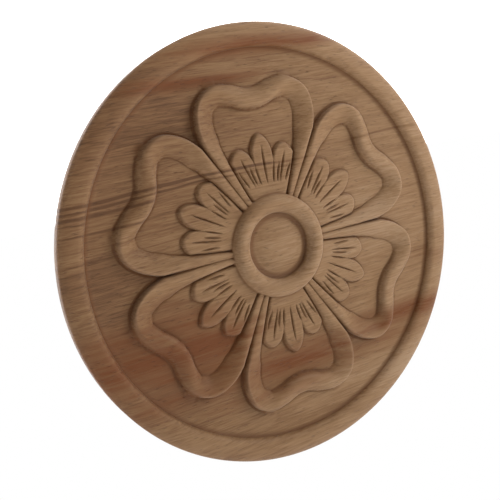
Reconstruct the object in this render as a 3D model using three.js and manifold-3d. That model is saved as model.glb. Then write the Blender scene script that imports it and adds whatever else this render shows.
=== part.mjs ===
import * as THREE from 'three';
import { mergeVertices } from 'three/addons/utils/BufferGeometryUtils.js';
import Module from 'manifold-3d';

// A round rosette medallion, carved in relief from one flat board of rubberwood and glued by its
// flat back to a door, a drawer or a piece of furniture. A rounded rim frames a sunk field, on
// which heart-shaped petals stand around a turned ring. Each petal is a ribbon that twists on its
// way round, with a veined three-lobed leaf at its root.
// Lengths are millimetres. The relief is laid out with X to the right, Y up along the first petal
// and Z out of the board from its back, and stands upright at the end.

// The board
const DISC_RADIUS = 100;
const FIELD_THICKNESS = 4;
const DISC_SIDES = 84;

// The rim: a rounded bead that rises from the field and ends in the disc's upright edge
const RIM_WIDTH = 10.9;
const RIM_CREST_INSET = 7.4;
const RIM_HEIGHT = 3.4;
const RIM_FULLNESS = 2;
const EDGE_WALL = 5;
const RIM_FACETS = 5;

// The ring and the domed boss in it
const RING_RADIUS = 24;
const RING_WIDTH = 9;
const RING_HEIGHT = 6;
const RING_FULLNESS = 2;
const BOSS_HEIGHT = 3.6;
const BOSS_EDGE_DROP = 3;
const RING_SIDES = 48;
const RING_FACETS = 4;

// The petals
const PETALS = 6;
const PETAL_RIM_GAP = 16.6;
const RIBBON_WIDTH = 9.5;
const LOBE_HEIGHT = 4.2;
const NOTCH_HEIGHT = 4;
const TAIL_HEIGHT = 3.5;
const TAIL_FOOT_HEIGHT = 2.6;
const GROOVE_FLOOR = 1.3;
const RIBBON_STEPS = 40;
const SLOPE_FACETS = 3;
const BULGE_FACETS = 2;

// The leaves
const LEAF_HEIGHT = 2.1;
const VEIN_WIDTH = 1.3;
const VEIN_DEPTH = 1.4;
const LEAF_COLUMNS = 27;

// How far a thin edge runs on under the field, so that it fades into it
const RUN_OUT = 0.3;
// How far neighbouring tails run on into one another, so that they join
const OVERLAP = 0.1;
// How deep the petals and the ring are rooted in the board
const ROOT = 1;

const fieldRadius = DISC_RADIUS - RIM_WIDTH;
const petalReach = fieldRadius - PETAL_RIM_GAP;
const halfSector = Math.PI / PETALS;
const ringCrestRadius = RING_RADIUS - RING_WIDTH / 2;
const ringInnerRadius = RING_RADIUS - RING_WIDTH;

// Middle line of one half of a petal's ribbon, from its foot at the ring to the notch on the
// petal's axis: the angle off the axis as a share of the half sector, the distance from the
// centre as a share of the petal's reach
const SPINE = [
  [0.876, 0.478],
  [0.867, 0.630],
  [0.842, 0.764],
  [0.773, 0.884],
  [0.648, 0.971],
  [0.469, 1.001],
  [0.288, 0.974],
  [0.129, 0.938],
  [0.000, 0.927],
];
const SPINE_FOOT_SHARE = 0.866;

// Where along that line, as shares of it, the tail rises from its foot at the ring, where it opens
// into the lobe, whose crest is on the outside, and where the crest then crosses over to the inside
// for the notch. The groove between neighbouring tails has its raised floor up to where they part.
const TAIL_RISES = [0.05, 0.35];
const LOBE_OPENS = [0.18, 0.55];
const CREST_CROSSES = [0.66, 0.93];
const TAILS_PART = [0.3, 0.48];
const LOBE_CREST = 0.86;
const NOTCH_CREST = 0.32;
const SLOPE_FLATNESS = 0.6;
const NOTCH_ROUNDNESS = 0.8;

// A leaf's lobes: the middle and the two half widths as shares of the half sector, the root's and
// the tip's distance from the centre as shares of the petal's reach, and how full the round is
const MIDDLE_LOBE = { middle: 0, inner: 0.25, outer: 0.25, root: 0.575, tip: 0.71, fullness: 1.6 };
const SIDE_LOBE = { middle: 0.49, inner: 0.24, outer: 0.3, root: 0.56, tip: 0.654, fullness: 1.7 };
const LEAF_SIDE_SHARE = 0.855;

// How a leaf falls off towards its outline: shares of its length and of its height
const LEAF_FALL = [[0, 1], [0.6, 1], [0.86, 0.97], [0.95, 0.82], [1, 0.5]];

// The veins fan out from a point on the petal's axis: the turn off the axis as a share of the
// half sector, then the start and the end as shares of the petal's reach
const VEIN_FOCUS_SHARE = 0.159;
const VEINS = [
  [0.000, 0.235, 0.477],
  [0.353, 0.242, 0.366],
  [0.553, 0.249, 0.373],
  [0.690, 0.242, 0.449],
  [0.953, 0.262, 0.394],
];

const wasm = await Module();
wasm.setup();

// Turns a closed geometry into a solid that can be joined and cut
function solid(geometry) {
  const bare = geometry.index ? geometry.clone() : mergeVertices(geometry);
  bare.deleteAttribute('normal');
  bare.deleteAttribute('uv');
  const merged = mergeVertices(bare, 1e-4);
  return new wasm.Manifold(new wasm.Mesh({
    numProp: 3,
    vertProperties: new Float32Array(merged.attributes.position.array),
    triVerts: new Uint32Array(merged.index.array),
  }));
}

// Turns a profile of [radius, height] pairs about the board's axis. It starts on the axis at the
// back and ends on the axis at the front.
function turned(profile, sides) {
  const points = profile.map(([radius, height]) => new THREE.Vector2(radius, height));
  return solid(new THREE.LatheGeometry(points, sides).rotateX(Math.PI / 2));
}

// A point of the relief from its angle off the petal's axis and its distance from the centre
function atAngle(angle, distance) {
  return new THREE.Vector2(distance * Math.sin(angle), distance * Math.cos(angle));
}

// Points of a quarter round from (r0, h0), where it is upright, to (r1, h1), where it is level: a
// fullness of 2 is an ellipse, and more is squarer
function quarter(r0, h0, r1, h1, fullness, steps) {
  return Array.from({ length: steps + 1 }, (_, i) => {
    const turn = (i / steps) * Math.PI / 2;
    const outwards = Math.cos(turn) ** (2 / fullness);
    const upwards = Math.sin(turn) ** (2 / fullness);
    return [r1 + (r0 - r1) * outwards, h0 + (h1 - h0) * upwards];
  });
}

// Closes a grid of top points into a block that goes straight down to the level of the roots
function blockUnder(rows) {
  const columns = rows[0].length;
  const top = rows.flat().flatMap(([x, y, z]) => [x, y, z]);
  const bottom = rows.flat().flatMap(([x, y]) => [x, y, FIELD_THICKNESS - ROOT]);
  const under = rows.length * columns;
  const faces = [];
  const quad = (a, b, c, d) => faces.push(a, b, c, a, c, d);
  const at = (row, column) => row * columns + column;
  for (let row = 0; row < rows.length - 1; row += 1) {
    for (let column = 0; column < columns - 1; column += 1) {
      const corners = [at(row, column), at(row, column + 1), at(row + 1, column + 1), at(row + 1, column)];
      quad(...corners);
      quad(...corners.reverse().map((corner) => corner + under));
    }
  }
  const rim = [];
  for (let column = 0; column < columns - 1; column += 1) rim.push(at(0, column));
  for (let row = 0; row < rows.length - 1; row += 1) rim.push(at(row, columns - 1));
  for (let column = columns - 1; column > 0; column -= 1) rim.push(at(rows.length - 1, column));
  for (let row = rows.length - 1; row > 0; row -= 1) rim.push(at(row, 0));
  rim.forEach((corner, i) => {
    const next = rim[(i + 1) % rim.length];
    quad(next, corner, corner + under, next + under);
  });
  const geometry = new THREE.BufferGeometry();
  geometry.setAttribute('position', new THREE.Float32BufferAttribute([...top, ...bottom], 3));
  geometry.setIndex(faces);
  return geometry;
}

// The board with its upright edge, its rim and the flat field
function board() {
  const crestRadius = DISC_RADIUS - RIM_CREST_INSET;
  const crestHeight = FIELD_THICKNESS + RIM_HEIGHT;
  const outside = quarter(DISC_RADIUS, EDGE_WALL, crestRadius, crestHeight, RIM_FULLNESS, RIM_FACETS);
  const inside = quarter(
    fieldRadius,
    FIELD_THICKNESS,
    crestRadius,
    crestHeight,
    RIM_FULLNESS,
    RIM_FACETS,
  ).reverse();
  return turned([
    [0, 0],
    [DISC_RADIUS, 0],
    ...outside,
    ...inside.slice(1),
    [0, FIELD_THICKNESS],
  ], DISC_SIDES);
}

// The half-round ring and the domed boss that it frames
function ring() {
  const crestHeight = FIELD_THICKNESS + RING_HEIGHT;
  const bossTop = FIELD_THICKNESS + BOSS_HEIGHT;
  const bossEdge = bossTop - BOSS_EDGE_DROP;
  const outside = quarter(
    RING_RADIUS,
    FIELD_THICKNESS,
    ringCrestRadius,
    crestHeight,
    RING_FULLNESS,
    RING_FACETS,
  );
  const inside = quarter(
    ringInnerRadius,
    bossEdge,
    ringCrestRadius,
    crestHeight,
    RING_FULLNESS,
    RING_FACETS,
  ).reverse();
  const boss = [0.75, 0.4, 0].map((share) => [
    ringInnerRadius * share,
    bossTop - BOSS_EDGE_DROP * share ** 2,
  ]);
  return turned([
    [0, FIELD_THICKNESS - ROOT],
    [RING_RADIUS, FIELD_THICKNESS - ROOT],
    ...outside,
    ...inside.slice(1),
    ...boss,
  ], RING_SIDES);
}

// Where the ribbon's crest lies across it, as a share from the inner to the outer edge: in the
// middle of the tail, at the outer edge round the lobe and at the inner edge in the notch
function crestShare(along) {
  const opened = THREE.MathUtils.smoothstep(along, ...LOBE_OPENS);
  const crossed = THREE.MathUtils.smoothstep(along, ...CREST_CROSSES);
  return THREE.MathUtils.lerp(THREE.MathUtils.lerp(0.5, LOBE_CREST, opened), NOTCH_CREST, crossed);
}

// Height of the ribbon's top above the field at a share of the way from the tail to the notch
// and a share of the way from the inner to the outer edge: inside the crest a rounded slope, and
// outside it a bulge, which ends on the groove's floor between the tails, is a steep wall where the
// crest is at the edge and is a flatter slope in the notch
function ribbonHeight(along, across) {
  const opened = THREE.MathUtils.smoothstep(along, ...LOBE_OPENS);
  const crossed = THREE.MathUtils.smoothstep(along, ...CREST_CROSSES);
  const risen = THREE.MathUtils.smoothstep(along, ...TAIL_RISES);
  const tail = THREE.MathUtils.lerp(TAIL_FOOT_HEIGHT, TAIL_HEIGHT, risen);
  const side = THREE.MathUtils.lerp(tail, LOBE_HEIGHT, opened);
  const crestHeight = THREE.MathUtils.lerp(side, NOTCH_HEIGHT, crossed);
  const crest = crestShare(along);
  if (across > crest) {
    const out = (across - crest) / (1 - crest);
    const bulge = Math.sqrt(1 - out ** 2);
    const notch = THREE.MathUtils.lerp(1 - out, bulge, NOTCH_ROUNDNESS);
    const parted = THREE.MathUtils.smoothstep(along, ...TAILS_PART);
    const foot = THREE.MathUtils.lerp(GROOVE_FLOOR, -RUN_OUT, parted);
    return THREE.MathUtils.lerp(foot, crestHeight, THREE.MathUtils.lerp(bulge, notch, crossed));
  }
  const up = across / crest;
  const round = Math.sqrt(1 - (1 - up) ** 2);
  const flat = SLOPE_FLATNESS * opened * (1 - crossed);
  const slope = THREE.MathUtils.lerp(round, up, flat);
  return (crestHeight + RUN_OUT) * slope - RUN_OUT;
}

// The ribbon of one petal, from one tail round the lobes and the notch to the other
function ribbon() {
  const foot = atAngle(SPINE_FOOT_SHARE * halfSector, ringCrestRadius);
  const half = [foot, ...SPINE.map(([angle, reach]) => atAngle(angle * halfSector, reach * petalReach))];
  const mirrored = half.slice(0, -1).reverse().map((point) => new THREE.Vector2(-point.x, point.y));
  const spine = new THREE.SplineCurve([...half, ...mirrored]);
  return blockUnder(Array.from({ length: RIBBON_STEPS + 1 }, (_, step) => {
    const share = step / RIBBON_STEPS;
    const middle = spine.getPointAt(share);
    const tangent = spine.getTangentAt(share);
    const outwards = new THREE.Vector2(tangent.y, -tangent.x);
    const offAxis = Math.atan2(Math.abs(middle.x), middle.y);
    const toNeighbour = middle.length() * Math.sin(halfSector - offAxis);
    const halfWidth = Math.min(RIBBON_WIDTH / 2, toNeighbour + OVERLAP);
    const along = 1 - Math.abs(2 * share - 1);
    const crest = crestShare(along);
    const inner = Array.from({ length: SLOPE_FACETS }, (__, facet) => crest * facet / SLOPE_FACETS);
    const outer = Array.from(
      { length: BULGE_FACETS + 1 },
      (__, facet) => crest + (1 - crest) * Math.sin(Math.PI / 2 * facet / BULGE_FACETS),
    );
    return [...inner, ...outer].map((across) => {
      const point = middle.clone().addScaledVector(outwards, (2 * across - 1) * halfWidth);
      return [point.x, point.y, FIELD_THICKNESS + ribbonHeight(along, across)];
    });
  }));
}

// Distance of a leaf's outline from the centre at a share of the half sector, as a share of the
// petal's reach: a full round lobe in the middle and a wider one on each side
function leafOutline(share) {
  const lobe = Math.abs(share) < MIDDLE_LOBE.outer ? MIDDLE_LOBE : SIDE_LOBE;
  const offset = Math.abs(share) - lobe.middle;
  const off = Math.min(1, Math.abs(offset) / (offset < 0 ? lobe.inner : lobe.outer));
  const full = (1 - off ** lobe.fullness) ** (1 / lobe.fullness);
  return lobe.root + (lobe.tip - lobe.root) * full;
}

// One leaf without its veins, a plate that reaches under the ring and under both tails
function leaf() {
  return blockUnder(LEAF_FALL.map(([length, height]) => Array.from(
    { length: LEAF_COLUMNS + 1 },
    (_, column) => {
      const share = (2 * column / LEAF_COLUMNS - 1) * LEAF_SIDE_SHARE;
      const outline = leafOutline(share) * petalReach;
      const distance = THREE.MathUtils.lerp(ringCrestRadius, outline, length);
      const point = atAngle(share * halfSector, distance);
      return [point.x, point.y, FIELD_THICKNESS + LEAF_HEIGHT * height];
    },
  )));
}

// The cut of one vein: a long diamond, pointed at both ends and deepest in the middle
function veinCut([turn, start, end]) {
  const length = (end - start) * petalReach;
  const middle = atAngle(turn * halfSector, (start + end) / 2 * petalReach);
  return new THREE.OctahedronGeometry(1)
    .scale(VEIN_WIDTH / 2, length / 2, VEIN_DEPTH)
    .rotateZ(-turn * halfSector)
    .translate(middle.x, middle.y + VEIN_FOCUS_SHARE * petalReach, FIELD_THICKNESS + LEAF_HEIGHT);
}

// One whole petal, turned to its place around the centre
function petal(turn) {
  const veins = VEINS.flatMap((vein) => (vein[0] === 0 ? [vein] : [vein, [-vein[0], vein[1], vein[2]]]));
  const veined = veins.reduce(
    (plate, vein) => plate.subtract(solid(veinCut(vein).rotateZ(turn))),
    solid(leaf().rotateZ(turn)),
  );
  return solid(ribbon().rotateZ(turn)).add(veined);
}

// Joins everything that is carved from the one board and stands it upright
function rosette() {
  let carving = board().add(ring());
  for (let i = 0; i < PETALS; i += 1) {
    carving = carving.add(petal(i * 2 * halfSector));
  }
  const { vertProperties, triVerts } = carving.getMesh();
  const geometry = new THREE.BufferGeometry();
  geometry.setAttribute('position', new THREE.BufferAttribute(vertProperties, 3));
  geometry.setIndex(new THREE.BufferAttribute(triVerts, 1));
  geometry.rotateX(Math.PI / 2);
  geometry.computeVertexNormals();
  return geometry;
}

const wood = new THREE.MeshStandardMaterial({ color: 0xb98c62, roughness: 0.75, metalness: 0 });

const medallion = new THREE.Group();
const carved = new THREE.Mesh(rosette(), wood);
carved.name = 'carved_rosette';
medallion.add(carved);

export default medallion;
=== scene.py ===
import bpy
import numpy as np
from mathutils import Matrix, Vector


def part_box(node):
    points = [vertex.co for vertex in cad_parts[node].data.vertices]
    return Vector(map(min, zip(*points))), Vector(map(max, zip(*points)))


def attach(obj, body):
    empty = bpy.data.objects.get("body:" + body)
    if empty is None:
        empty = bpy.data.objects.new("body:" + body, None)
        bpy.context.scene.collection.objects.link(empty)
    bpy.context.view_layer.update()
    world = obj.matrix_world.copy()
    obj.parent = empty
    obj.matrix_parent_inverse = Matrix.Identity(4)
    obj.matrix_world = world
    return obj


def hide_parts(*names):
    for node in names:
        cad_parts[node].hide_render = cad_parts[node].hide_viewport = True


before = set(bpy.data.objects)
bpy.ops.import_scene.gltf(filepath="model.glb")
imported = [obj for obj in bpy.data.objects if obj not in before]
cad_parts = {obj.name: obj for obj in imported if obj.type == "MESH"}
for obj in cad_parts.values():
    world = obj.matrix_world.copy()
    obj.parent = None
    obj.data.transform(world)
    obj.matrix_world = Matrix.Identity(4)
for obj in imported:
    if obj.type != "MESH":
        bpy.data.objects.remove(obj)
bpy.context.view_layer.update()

# The carved rosette
# One round board of bare rubberwood, turned to a disc and carved by hand in low relief: a rounded
# rim, a sunk field, a ring with a domed boss, and petals of twisted ribbon with a veined leaf each.

# Its sizes are in millimetres, and the relief is laid out with X to the right, Y up along the first
# petal and the height out of the board, before it is stood upright in metres.
MM = 0.001
low, high = (np.array(corner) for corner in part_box("carved_rosette"))
disc_radius = (high[2] - low[2]) / 2 / MM
field_thickness = 0.4 * (high[1] - low[1]) / MM

rim_width = 10.9
rim_crest_inset = 7.4
rim_height = 3.4
edge_wall = 5.0
edge_round = 0.5
ring_radius = 24.0
ring_width = 9.0
ring_height = 6.0
boss_height = 3.6
boss_edge_drop = 3.0

petals = 6
petal_rim_gap = 16.6
ribbon_width = 9.5
groove_floor = 1.3
lobe_height = 4.4
notch_height = 4.2
tail_height = 3.5
tail_foot_height = 2.6
lobe_crest = 0.86
notch_crest = 0.32
slope_flatness = 0.6
notch_roundness = 0.8
# Where along the ribbon, as shares of the way from the tail to the notch, its parts give way to
# one another
tail_rises = (0.05, 0.35)
lobe_opens = (0.18, 0.55)
crest_crosses = (0.66, 0.93)
tails_part = (0.3, 0.48)
ribbon_crest_round = 0.7
# How far a thin edge runs on under the field, and how steeply the sides fall below their edges
run_out = 0.3
wall_slope = 5.0

leaf_height = 2.1
leaf_edge_round = 1.8
leaf_edge_share = 0.35
vein_depth = 1.5
vein_slope = 2.2
vein_fade = 0.15
# How far the creases are rounded where a ribbon meets a leaf, and where both meet the field
leaf_crease_round = 0.25
field_crease_round = 0.2
# The fine line that the knife leaves round each outline
line_depth = 0.4
line_width = 0.5
# How far off the surroundings lie that a place's depth is measured from
hollow_reach = 1.5

field_radius = disc_radius - rim_width
petal_reach = field_radius - petal_rim_gap
half_sector = np.pi / petals
ring_crest = ring_radius - ring_width / 2
ring_inner = ring_radius - ring_width


def smoothstep(value, start, end):
    """Goes softly from 0 at start to 1 at end: three times the square of the share of the way less
    twice its cube."""
    share = np.clip((value - start) / (end - start), 0, 1)
    return share * share * (3 - 2 * share)


def soft_min(a, b, soft):
    """The lower of two heights, with the corner rounded where they differ by less than soft: a
    share of each by their difference, less soft times the product of the two shares."""
    mix = np.clip(0.5 + 0.5 * (b - a) / soft, 0, 1)
    return b + (a - b) * mix - soft * mix * (1 - mix)


def soft_max(a, b, soft):
    """The higher of two heights, with the crease rounded in the same way: the soft lower one of
    their opposites, turned back."""
    return -soft_min(-a, -b, soft)


def quarter(radius, foot, crest, foot_height, crest_height):
    """Height on a quarter of an ellipse, upright at the radius foot and level at the radius crest."""
    share = np.clip((radius - crest) / (foot - crest), 0, 1)
    return foot_height + (crest_height - foot_height) * np.sqrt(1 - share ** 2)


def turned_height(radius):
    """Height of what the lathe leaves: quarters of an ellipse up to the rim's crest and up to the
    ring's crest from both sides, the flat field between them, and a boss that falls with the square
    of the radius."""
    crest = disc_radius - rim_crest_inset
    outer = quarter(radius, disc_radius, crest, edge_wall - field_thickness, rim_height)
    inner = quarter(radius, field_radius, crest, 0, rim_height)
    height = np.where(radius > crest, outer, np.where(radius > field_radius, inner, 0))
    ring = quarter(radius, ring_radius, ring_crest, 0, ring_height)
    ring_in = quarter(radius, ring_inner, ring_crest, boss_height - boss_edge_drop, ring_height)
    boss = boss_height - boss_edge_drop * (radius / ring_inner) ** 2
    height = np.where(radius < ring_radius, ring, height)
    height = np.where(radius < ring_crest, ring_in, height)
    return np.where(radius < ring_inner, boss, height)


# Middle line of half a ribbon, from the tail under the ring to the notch: shares of the half
# sector and of the petal's reach
spine_shares = [
    (0.866, 0.269), (0.876, 0.478), (0.867, 0.630), (0.842, 0.764), (0.773, 0.884),
    (0.648, 0.971), (0.469, 1.001), (0.288, 0.974), (0.129, 0.938), (0.000, 0.927),
]
spine_steps = 18


def spine_line():
    """The ribbon's middle line as points in millimetres, by a curve through the points above: each
    stretch is the cubic whose slope at a point is half the step between its two neighbours."""
    angle, reach = np.array(spine_shares).T
    half = np.stack([np.sin(angle * half_sector), np.cos(angle * half_sector)], 1)
    half *= reach[:, None] * petal_reach
    points = np.vstack([2 * half[:1] - half[1:2], half, half[-2::-1][:2] * [-1, 1]])
    before, start, end, after = points[:-3], points[1:-2], points[2:-1], points[3:]
    t = np.linspace(0, 1, spine_steps, endpoint=False)[None, :, None]
    slope_in = (end - before)[:, None] / 2
    slope_out = (after - start)[:, None] / 2
    start, end = start[:, None], end[:, None]
    line = (
        start * (2 * t ** 3 - 3 * t ** 2 + 1) + slope_in * (t ** 3 - 2 * t ** 2 + t)
        + end * (3 * t ** 2 - 2 * t ** 3) + slope_out * (t ** 3 - t ** 2)
    )
    return line.reshape(-1, 2)


def ribbon_place(x, y):
    """For points of half a petal: the share of the way from the tail to the notch, the distance
    outwards from the middle line, and the ribbon's half width there, from the nearest stretch."""
    line = spine_line()
    start, step = line[:-1], np.diff(line, axis=0)
    length = np.hypot(*step.T)
    along = np.concatenate([[0], np.cumsum(length)])
    to_notch = along[(len(spine_shares) - 1) * spine_steps]
    dx = x[:, None] - start[:, 0]
    dy = y[:, None] - start[:, 1]
    t = np.clip((dx * step[:, 0] + dy * step[:, 1]) / length ** 2, 0, 1)
    gap = np.hypot(dx - t * step[:, 0], dy - t * step[:, 1])
    near = np.argmin(gap, axis=1)
    pick = np.arange(len(x)), near
    side = np.sign(step[near, 1] * dx[pick] - step[near, 0] * dy[pick])
    share = (along[near] + t[pick] * length[near]) / to_notch
    foot = start[near] + t[pick][:, None] * step[near]
    to_neighbour = np.hypot(*foot.T) * np.sin(half_sector - np.arctan2(np.abs(foot[:, 0]), foot[:, 1]))
    half_width = np.minimum(ribbon_width / 2, to_neighbour)
    return 1 - np.abs(share - 1), gap[pick] * side, half_width


def ribbon_height(along, out, half_width):
    """Height over the field of the ribbon: inside its crest a rounded slope, and outside the crest
    a bulge. The crest runs in the middle of the tail, moves to the outer edge round the lobe, where
    the bulge is a steep wall, and crosses to the inner edge in the notch, where it is flatter. The
    bulge ends on the floor of the groove between neighbouring tails up to where these part."""
    opened = smoothstep(along, *lobe_opens)
    crossed = smoothstep(along, *crest_crosses)
    crest = 0.5 + (lobe_crest - 0.5) * opened
    crest = crest + (notch_crest - crest) * crossed
    tail = tail_foot_height + (tail_height - tail_foot_height) * smoothstep(along, *tail_rises)
    crest_height = tail + (lobe_height - tail) * opened
    crest_height = crest_height + (notch_height - crest_height) * crossed + run_out
    foot = (groove_floor + run_out) * (1 - smoothstep(along, *tails_part))
    across = (out + half_width) / (2 * half_width)
    down = np.clip((across - crest) / (1 - crest), 0, 1)
    bulge = np.sqrt(1 - down ** 2)
    notch = 1 - down + (bulge - 1 + down) * notch_roundness
    bulge = foot + (crest_height - foot) * (bulge + (notch - bulge) * crossed)
    up = np.clip(across / crest, 0, 1)
    round_slope = np.sqrt(1 - (1 - up) ** 2)
    slope = crest_height * (round_slope + (up - round_slope) * slope_flatness * opened * (1 - crossed))
    past = np.maximum(-across, across - 1) * 2 * half_width
    return soft_min(bulge, slope, ribbon_crest_round) - run_out - wall_slope * np.maximum(past, 0)


# A leaf's lobes: the middle and the half widths to both sides as shares of the half sector, then the
# root's and the tip's distance from the centre as shares of the petal's reach, and how full it is
middle_lobe = (0.0, 0.25, 0.25, 0.575, 0.710, 1.6)
side_lobe = (0.49, 0.24, 0.30, 0.560, 0.654, 1.7)


def lobe_outline(share, lobe):
    """Distance of one lobe's outline from the centre: a full ellipse over the lobe's root, where
    the powers of both shares add up to one."""
    middle, inner, outer, root, tip, fullness = lobe
    off = np.clip(np.maximum((middle - share) / inner, (share - middle) / outer), 0, 1)
    return petal_reach * (root + (tip - root) * (1 - off ** fullness) ** (1 / fullness))


def leaf_outline(share):
    """Distance of a leaf's outline from the centre at a share of the half sector: one full round
    lobe in the middle and a wider one on each side."""
    share = np.abs(share)
    in_middle = share < middle_lobe[2]
    return np.where(in_middle, lobe_outline(share, middle_lobe), lobe_outline(share, side_lobe))


# Veins fan out from a point on the petal's axis: the turn off the axis as a share of the half
# sector, then start and end as shares of the petal's reach
vein_focus = 0.159
veins = [
    (0.000, 0.235, 0.477), (0.353, 0.242, 0.366), (0.553, 0.249, 0.373),
    (0.690, 0.242, 0.449), (0.953, 0.262, 0.394),
]


def leaf_height_at(x, y, beside):
    """Height over the field of a leaf and the distance in from its outline: it is level at the
    root, and a quarter of a circle at the outline and beside the ribbon. Its veins are V cuts, whose
    depth follows half an ellipse from end to end, so that they are pointed at both ends."""
    radius = np.hypot(x, y)
    share = np.arctan2(x, y) / half_sector
    outline = leaf_outline(share)
    turn = 0.01
    swing = (leaf_outline(share + turn) - leaf_outline(share - turn)) / (2 * turn * half_sector)
    inside = (outline - radius) / np.sqrt(1 + (swing / np.maximum(radius, 1)) ** 2)
    inside = np.minimum(inside, beside)
    rounded = np.sqrt(1 - (1 - np.clip(inside / leaf_edge_round, 0, 1)) ** 2)
    height = leaf_height * (leaf_edge_share + (1 - leaf_edge_share) * rounded)
    height += wall_slope * np.minimum(inside, 0)
    focus = vein_focus * petal_reach
    for angle, start, end in veins:
        turn = angle * half_sector
        along = x * np.sin(turn) + (y - focus) * np.cos(turn)
        off = np.abs(x * np.cos(turn) - (y - focus) * np.sin(turn))
        t = (along / petal_reach - start) / (end - start)
        depth = vein_depth * np.sqrt(np.clip(4 * t * (1 - t), 0, 1))
        height = np.minimum(height, leaf_height + vein_fade - depth + vein_slope * off)
    return height, inside


def relief_height(x, y):
    """Height over the field anywhere on the front, from the higher of what is carved there, less
    the fine line that the knife leaves round each outline, a bell curve in the distance from it."""
    radius = np.hypot(x, y)
    height = turned_height(radius)
    turn = np.arctan2(x, y)
    off_axis = np.abs(turn - np.round(turn / (2 * half_sector)) * 2 * half_sector)
    px, py = radius * np.sin(off_axis), radius * np.cos(off_axis)
    carved = (radius > ring_crest) & (radius < field_radius - 2)
    along, out, half_width = ribbon_place(px[carved], py[carved])
    ribbon = ribbon_height(along, out, half_width)
    leaf, inside = leaf_height_at(px[carved], py[carved], -out - half_width)
    petal = soft_max(ribbon, leaf, leaf_crease_round)
    height[carved] = soft_max(height[carved], petal, field_crease_round)
    past = np.abs(out) - half_width
    line = np.where((past > 0) & (past < np.abs(inside)), past, inside)
    height[carved] -= line_depth * np.exp(-(line / line_width) ** 2) * (height[carved] < leaf_height)
    return np.where(radius > disc_radius, edge_wall - field_thickness, height)


def carving_rings():
    """Radii of the grid's rings: close together where the carving is, and as steps of a quarter
    turn over the round ring and rim, so that both are smooth and end in a crisp line."""
    crest = disc_radius - rim_crest_inset
    rise = 1 - np.cos(np.linspace(0.12, 1, 7) * np.pi / 2)
    fall = np.sin(np.linspace(0.14, 1, 8) * np.pi / 2)
    return np.concatenate([
        np.linspace(1.5, ring_inner, 5),
        ring_inner + (ring_crest - ring_inner) * rise,
        ring_crest + (ring_radius - ring_crest) * fall,
        np.linspace(ring_radius + 0.5, petal_reach + 4.5, 92),
        np.linspace(petal_reach + 5.5, field_radius, 5),
        field_radius + (crest - field_radius) * rise,
        crest + (disc_radius - crest) * fall,
    ])


def front_heights(x, y):
    """Height over the back at a grid of places on the front: the field's and the relief's height,
    worked out a few rings at a time."""
    batches = zip(np.array_split(x, 24), np.array_split(y, 24))
    heights = [relief_height(some_x.ravel(), some_y.ravel()) for some_x, some_y in batches]
    return field_thickness + np.concatenate(heights).reshape(x.shape)


def depth_below(x, y, height, reach):
    """How far each place lies below its surroundings: the mean height of eight places at the given
    reach around it, less its own height."""
    turns = np.arange(8) * np.pi / 4
    around = sum(front_heights(x + reach * np.cos(turn), y + reach * np.sin(turn)) for turn in turns)
    return around / 8 - height


def drawn_together(rings, spokes):
    """Angles of the spokes on each ring: evenly spread at first, then drawn together where the
    carving is steep or bends, by sharing out the running sum of one plus that steepness."""
    even = np.linspace(0, 2 * np.pi, 1440, endpoint=False)
    radius, angle = np.meshgrid(rings, even, indexing="ij")
    height = front_heights(radius * np.sin(angle), radius * np.cos(angle))
    step = radius * (even[1] - even[0])
    slope = (np.roll(height, -1, 1) - np.roll(height, 1, 1)) / (2 * step)
    bend = (np.roll(height, -1, 1) + np.roll(height, 1, 1) - 2 * height) / step
    weight = 1 + 1.2 * np.minimum(np.abs(slope), 2) + 4 * np.minimum(np.abs(bend), 0.7)
    for _ in range(10):
        weight = (np.roll(weight, 1, 1) + 2 * weight + np.roll(weight, -1, 1)) / 4
        weight[1:-1] = (weight[:-2] + 2 * weight[1:-1] + weight[2:]) / 4
    run = np.cumsum(weight, axis=1)
    run = np.concatenate([np.zeros((len(rings), 1)), run], 1) / run[:, -1:]
    shares = np.linspace(0, 1, spokes, endpoint=False)
    turn = np.append(even, 2 * np.pi)
    return np.stack([np.interp(shares, row, turn) for row in run])


def carving_mesh(name, spokes):
    """A closed disc as a grid of rings and spokes: over the relief, down the wall and under the
    back, with a pole at each centre. It also keeps how deep each place lies in its surroundings."""
    rings = carving_rings()
    angle = drawn_together(rings, spokes)
    x, y = rings[:, None] * np.sin(angle), rings[:, None] * np.cos(angle)
    height = front_heights(x, y)
    edge = angle[-1]
    under = [(disc_radius, edge_round), (disc_radius - edge_round, 0), (disc_radius / 2, 0)]
    back = np.array([[r * np.sin(edge), r * np.cos(edge), np.full(spokes, h)] for r, h in under])
    front = np.stack([x.ravel(), y.ravel(), height.ravel()], 1)
    poles = [[0, 0, field_thickness + boss_height], [0, 0, 0]]
    points = np.vstack([front, back.transpose(0, 2, 1).reshape(-1, 3), poles])
    points = np.stack([points[:, 0], -points[:, 2], points[:, 1]], 1) * MM
    count = len(rings) + len(under)
    row, column = np.meshgrid(np.arange(count - 1), np.arange(spokes), indexing="ij")
    after = (column + 1) % spokes
    quads = np.stack([
        row * spokes + after, (row + 1) * spokes + after,
        (row + 1) * spokes + column, row * spokes + column,
    ], -1).reshape(-1, 4)
    spoke = np.arange(spokes)
    following = (spoke + 1) % spokes
    last = (count - 1) * spokes
    front_fan = np.stack([following, spoke, np.full(spokes, count * spokes)], 1)
    back_fan = np.stack([last + spoke, last + following, np.full(spokes, count * spokes + 1)], 1)
    mesh = bpy.data.meshes.new(name)
    mesh.from_pydata(points, [], quads.tolist() + front_fan.tolist() + back_fan.tolist())
    depth = np.zeros(len(points))
    depth[:height.size] = depth_below(x, y, height, hollow_reach).ravel()
    mesh.attributes.new("depth", "FLOAT", "POINT").data.foreach_set("value", depth)
    mesh.shade_smooth()
    return mesh


rosette = bpy.data.objects.new("rosette", carving_mesh("rosette", 720))
bpy.context.collection.objects.link(rosette)

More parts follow.
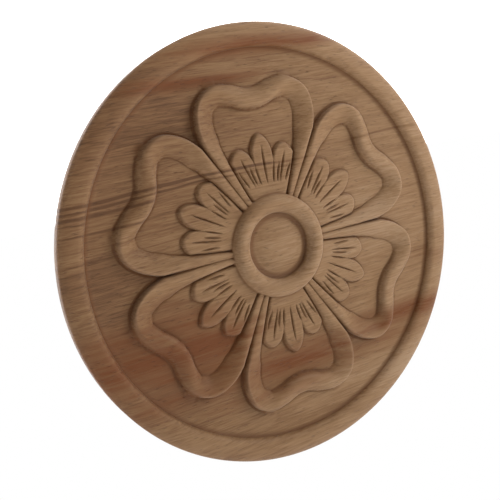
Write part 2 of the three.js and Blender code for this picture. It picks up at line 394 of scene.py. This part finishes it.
# Bare rubberwood with the grain along X, made as a body of wood that the carving cuts into: each
# noise is drawn out along X, so that it shows as streaks on the flats and as spots on end grain.
wood = bpy.data.materials.new("bare rubberwood")
wood.use_nodes = True
tree = wood.node_tree
tree.nodes.clear()
shader = tree.nodes.new("ShaderNodeBsdfPrincipled")
output = tree.nodes.new("ShaderNodeOutputMaterial")
tree.links.new(shader.outputs["BSDF"], output.inputs["Surface"])
place = tree.nodes.new("ShaderNodeTexCoord").outputs["Object"]


def put(socket, value):
    """Feeds a socket with another node's socket, or sets it to a plain value."""
    if isinstance(value, bpy.types.NodeSocket):
        tree.links.new(value, socket)
    else:
        socket.default_value = value


def stretched(size_along, size_across, shift=(0, 0, 0)):
    """The place in the wood in units of a feature that is size_along long and size_across thick."""
    mapping = tree.nodes.new("ShaderNodeMapping")
    put(mapping.inputs["Vector"], place)
    mapping.inputs["Location"].default_value = shift
    mapping.inputs["Scale"].default_value = (1 / size_along, 0.35 / size_across, 1 / size_across)
    return mapping.outputs["Vector"]


def noise(vector, detail=3.0, roughness=0.5):
    """Smooth noise from 0 to 1 at a place."""
    node = tree.nodes.new("ShaderNodeTexNoise")
    put(node.inputs["Vector"], vector)
    node.inputs["Scale"].default_value = 1.0
    node.inputs["Detail"].default_value = detail
    node.inputs["Roughness"].default_value = roughness
    return node.outputs["Fac"]


def sums(operation, a, b=0.0, c=0.0, clamp=False):
    """One step of arithmetic on masks."""
    node = tree.nodes.new("ShaderNodeMath")
    node.operation = operation
    node.use_clamp = clamp
    for socket, value in zip(node.inputs, (a, b, c)):
        put(socket, value)
    return node.outputs["Value"]


def spread(value, low_end, high_end, to_low=0.0, to_high=1.0):
    """A mask that goes from to_low to to_high while the value goes from low_end to high_end."""
    node = tree.nodes.new("ShaderNodeMapRange")
    for name, number in zip(("Value", "From Min", "From Max", "To Min", "To Max"),
                            (value, low_end, high_end, to_low, to_high)):
        put(node.inputs[name], number)
    return node.outputs["Result"]


def blend(mask, a, b):
    """Colour a where the mask is 0, colour b where it is 1, and a mix of both by share between."""
    node = tree.nodes.new("ShaderNodeMix")
    node.data_type = "RGBA"
    put(node.inputs["Factor"], mask)
    put(node.inputs["A"], a)
    put(node.inputs["B"], b)
    return node.outputs["Result"]


# Colours of the wood from its darkest brown to its palest tan, each at its share of the tone
tones = [
    (0.00, (0.105, 0.047, 0.019)), (0.30, (0.172, 0.086, 0.037)), (0.50, (0.215, 0.117, 0.053)),
    (0.75, (0.266, 0.155, 0.077)), (1.00, (0.318, 0.202, 0.115)),
]
red_brown = (0.140, 0.043, 0.010, 1)
pore_brown = (0.07, 0.028, 0.012, 1)
# Darker, warmer brown painted into the creases as painted shade
crease_shade_brown = (0.115, 0.042, 0.013, 1)
# Paler tan painted on the crests as a painted highlight
crest_highlight_tan = (0.40, 0.26, 0.165, 1)

# The marks of this board: the height, the thickness, the left and the right end in shares of the
# radius, and how strong the mark is. Dark lines lower the tone, red bands turn it red brown, and
# pale areas raise it, or lower it a little where they are negative.
dark_lines = [
    (0.83, 0.035, -0.7, -0.3, 0.2), (0.775, 0.014, -0.5, 0.02, 0.35), (0.372, 0.005, -1, 0.2, 0.85),
    (0.350, 0.004, -1, 0.1, 0.6), (0.325, 0.006, -1, -0.5, 0.45), (0.300, 0.004, -1, -0.8, 0.5),
    (0.415, 0.006, 0.45, 0.97, 0.4), (0.17, 0.03, -0.2, 0.02, 0.2), (0.22, 0.03, -1, -0.86, 0.15),
    (0.135, 0.005, -1, -0.78, 0.5), (0.10, 0.004, -1, -0.85, 0.45), (0.07, 0.05, -1, -0.72, 0.15),
    (0.25, 0.005, -1, -0.4, 0.35), (0.19, 0.004, -0.9, -0.3, 0.3),
]
red_bands = [
    (0.90, 0.03, -0.35, 0.55, 0.85), (0.78, 0.022, -0.55, 0.05, 0.85), (-0.13, 0.05, -0.65, -0.45, 0.4),
    (-0.23, 0.06, -1, -0.3, 0.7), (-0.34, 0.11, -1, -0.22, 1), (-0.45, 0.05, -0.8, -0.2, 0.8),
    (-0.55, 0.06, -0.85, 0, 0.6), (-0.5, 0.045, 0.38, 1, 1), (-0.55, 0.07, -0.2, 0.3, 0.95),
    (-0.6, 0.04, 0.15, 0.75, 0.5), (-0.25, 0.03, 0.82, 0.96, 0.5), (-0.66, 0.025, -0.45, 0.3, 0.45),
]
pale_areas = [
    (-0.02, 0.30, -0.40, 0.70, 0.22), (-0.74, 0.08, 0.15, 1.10, 0.30),
    (-0.78, 0.10, -0.90, 0.15, 0.12), (0.64, 0.14, -1.00, -0.10, -0.22),
]
# The marks waver a little across the board, and their ends are ragged.
waver = noise(stretched(0.07, 0.03, (1.7, 2.2, 0.6)), 2.0)
axes = tree.nodes.new("ShaderNodeSeparateXYZ")
put(axes.inputs[0], place)
across_board = sums("MULTIPLY_ADD", waver, 0.008, sums("SUBTRACT", axes.outputs["Z"], 0.004))
along_board = sums("MULTIPLY_ADD", noise(stretched(0.03, 0.003), 2.0), 0.05, axes.outputs["X"])
streaks = noise(stretched(0.055, 0.0022, (0.4, 5.0, 1.3)), 4.0, 0.65)


def band(level, thickness, left, right, strength):
    """A band along the grain: its strength falls evenly from its middle to its edges, times a share
    that rises over its left end and one that falls over its right end."""
    radius = disc_radius * MM
    off = sums("ABSOLUTE", sums("SUBTRACT", across_board, level * radius))
    inside = spread(off, 0.0, 1.7 * thickness * radius, strength, 0.0)
    begun = spread(along_board, left * radius + 0.010, left * radius + 0.035)
    ended = spread(along_board, right * radius + 0.010, right * radius + 0.035, 1.0, 0.0)
    return sums("MULTIPLY", inside, sums("MULTIPLY", begun, ended))


darker, redder, paler = 0.0, 0.0, 0.0
for mark in dark_lines:
    darker = sums("MAXIMUM", darker, band(*mark))
for mark in red_bands:
    redder = sums("MAXIMUM", redder, band(*mark))
for mark in pale_areas:
    paler = sums("ADD", paler, band(*mark))

# The grain: broad zones, streaks, fibres, short dashes and, in patches, fine wavy lines
zones = noise(stretched(0.14, 0.016, (3.1, 0.2, 7.7)), 3.0)
fibres = noise(stretched(0.012, 0.0006), 3.0, 0.6)
dashes = spread(noise(stretched(0.014, 0.0009, (2.0, 8.0, 5.0)), 3.0, 0.6), 0.56, 0.66)
ripples = noise(stretched(0.030, 0.0032, (0.0, 0.0, 4.2)), 3.0, 0.55)
patches = noise(stretched(0.025, 0.008, (6.0, 1.0, 0.0)), 2.0)
lines = spread(sums("ABSOLUTE", sums("SUBTRACT", ripples, 0.5)), 0.0, 0.03, 1.0, 0.0)
lines = sums("MULTIPLY", lines, spread(patches, 0.42, 0.58))
# The marks are broken up by the fibres and the streaks.
broken = sums("ADD", spread(fibres, 0.38, 0.6, 0.4, 0.9), spread(streaks, 0.35, 0.65, 0.6, 0.0))

# The tone grows along the board and is painted paler with the height, as painted light on the raised
# parts, and all the patterns raise or lower it.
tone = sums("MULTIPLY_ADD", axes.outputs["X"], 2.2, 0.49)
crest_level, field_level = -(field_thickness + 3.8) * MM, -(field_thickness + 0.6) * MM
# Painted light: the carving is painted paler the higher it stands, up to the crests.
painted_light_on_tops = spread(axes.outputs["Y"], crest_level, field_level, 0.13, 0.0)
tone = sums("SUBTRACT", sums("ADD", tone, painted_light_on_tops), sums("MULTIPLY", darker, broken))
tone = sums("MULTIPLY_ADD", lines, -0.14, sums("ADD", tone, paler))
tone = sums("MULTIPLY_ADD", dashes, -0.18, tone)
for pattern, strength in ((zones, 0.4), (streaks, 0.4), (spread(fibres, 0.36, 0.64), 0.28)):
    tone = sums("MULTIPLY_ADD", sums("SUBTRACT", pattern, 0.5), strength, tone)
ramp = tree.nodes.new("ShaderNodeValToRGB")
put(ramp.inputs["Fac"], tone)
for level, shade in tones[1:-1]:
    ramp.color_ramp.elements.new(level)
for element, (level, shade) in zip(ramp.color_ramp.elements, tones):
    element.position = level
    element.color = (*shade, 1)
colour = blend(sums("MULTIPLY", redder, broken, clamp=True), ramp.outputs["Color"], red_brown)

# The pores are short dark strokes along the grain.
cell = tree.nodes.new("ShaderNodeTexVoronoi")
put(cell.inputs["Vector"], stretched(0.0065, 0.0009))
cell.inputs["Scale"].default_value = 1.0
pores = spread(cell.outputs["Distance"], 0.10, 0.20, 1.0, 0.0)
colour = blend(sums("MULTIPLY", pores, 0.34), colour, pore_brown)

# The creases are painted a darker, warmer brown as painted shade, and the crests are painted paler as a
# painted highlight.
hollow = tree.nodes.new("ShaderNodeAttribute")
hollow.attribute_name = "depth"
# Painted shade: the deeper a place lies below its surroundings, the more it is painted a darker, warmer
# brown.
colour = blend(spread(hollow.outputs["Fac"], 0.2, 0.9, 0.0, 0.65), colour, crease_shade_brown)
# Painted highlight: the higher a place stands above its surroundings, the more it is painted a paler
# tan.
colour = blend(spread(hollow.outputs["Fac"], -1.0, -0.05, 0.15, 0.0), colour, crest_highlight_tan)
put(shader.inputs["Base Color"], colour)

# The streaks differ in gloss, and the fibres and the pores are felt as fine grooves.
put(shader.inputs["Roughness"], spread(streaks, 0.3, 0.7, 0.52, 0.7))
shader.inputs["Specular IOR Level"].default_value = 0.22
shader.inputs["Sheen Weight"].default_value = 0.1
shader.inputs["Sheen Roughness"].default_value = 0.4
bump = tree.nodes.new("ShaderNodeBump")
bump.inputs["Strength"].default_value = 0.8
bump.inputs["Distance"].default_value = 0.00025
put(bump.inputs["Height"], sums("SUBTRACT", sums("MULTIPLY", fibres, -0.8), pores))
put(shader.inputs["Normal"], bump.outputs["Normal"])
rosette.data.materials.append(wood)

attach(rosette, "root")
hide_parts("carved_rosette")

# The stage
# A plain pale floor well below the rosette, which hangs free as in the photograph. Soft daylight
# comes from all round, a large soft light from the right and another along the board's face.
floor = bpy.data.objects.new("floor", bpy.data.meshes.new("floor"))
bpy.context.collection.objects.link(floor)
floor_size = 8.0
floor_level = -0.6
floor.data.from_pydata(
    [(x * floor_size, y * floor_size, floor_level) for x, y in ((-1, -1), (1, -1), (1, 1), (-1, 1))],
    [], [(0, 1, 2, 3)],
)
floor_paint = bpy.data.materials.new("pale floor")
floor_paint.use_nodes = True
paint = floor_paint.node_tree
floor_shader = paint.nodes["Principled BSDF"]
floor_shader.inputs["Base Color"].default_value = (0.9, 0.9, 0.9, 1)
floor_shader.inputs["Roughness"].default_value = 0.9

# The floor glows plain white where it is seen, and reflects the light as a matt paint otherwise.
glow = paint.nodes.new("ShaderNodeEmission")
seen = paint.nodes.new("ShaderNodeLightPath")
either = paint.nodes.new("ShaderNodeMixShader")
paint.links.new(seen.outputs["Is Camera Ray"], either.inputs[0])
paint.links.new(floor_shader.outputs[0], either.inputs[1])
paint.links.new(glow.outputs[0], either.inputs[2])
paint.links.new(either.outputs[0], paint.nodes["Material Output"].inputs[0])
floor.data.materials.append(floor_paint)

# The daylight is bright behind the rosette and dim in front of it, so that it edges the rim, and is
# plain white where it is seen.
world = bpy.data.worlds.new("soft daylight")
world.use_nodes = True
sky = world.node_tree
direction = sky.nodes.new("ShaderNodeTexCoord")
parts = sky.nodes.new("ShaderNodeSeparateXYZ")
strength = sky.nodes.new("ShaderNodeMapRange")
strength.inputs["From Min"].default_value = 0.0
strength.inputs["From Max"].default_value = 0.12
strength.inputs["To Min"].default_value = 0.25
strength.inputs["To Max"].default_value = 3.0
sky.links.new(direction.outputs["Generated"], parts.inputs[0])
sky.links.new(parts.outputs["Y"], strength.inputs["Value"])
seen = sky.nodes.new("ShaderNodeLightPath")
brighter = sky.nodes.new("ShaderNodeMath")
brighter.operation = "MAXIMUM"
sky.links.new(strength.outputs["Result"], brighter.inputs[0])
sky.links.new(seen.outputs["Is Camera Ray"], brighter.inputs[1])
sky.links.new(brighter.outputs["Value"], sky.nodes["Background"].inputs["Strength"])
sky.nodes["Background"].inputs["Color"].default_value = (1, 1, 1, 1)
bpy.context.scene.world = world
bpy.context.scene.view_settings.view_transform = "Standard"

key = bpy.data.objects.new("soft light from the right", bpy.data.lights.new("key", "AREA"))
key.data.shape = "RECTANGLE"
key.data.size = 0.25
key.data.size_y = 0.4
key.data.energy = 1.95
key.data.color = (1, 0.97, 0.93)
key.location = (0.414, -0.37, 0.222)
key.rotation_euler = (-key.location).to_track_quat("-Z", "Y").to_euler()
bpy.context.collection.objects.link(key)

edge = bpy.data.objects.new("light along the edge", bpy.data.lights.new("edge", "AREA"))
edge.data.shape = "DISK"
edge.data.size = 0.5
edge.data.energy = 2.0
edge.location = (0.36, -0.03, 0.42)
edge.rotation_euler = (-edge.location).to_track_quat("-Z", "Y").to_euler()
bpy.context.collection.objects.link(edge)

camera = bpy.data.objects.new("camera", bpy.data.cameras.new("camera"))
camera.data.lens = 50.4
camera.data.clip_start = 0.01
camera.location = (-0.15156, -0.2831, 0.05272)
camera.rotation_euler = np.radians((80.423, 10.424, -28.0))
bpy.context.collection.objects.link(camera)
bpy.context.scene.camera = camera
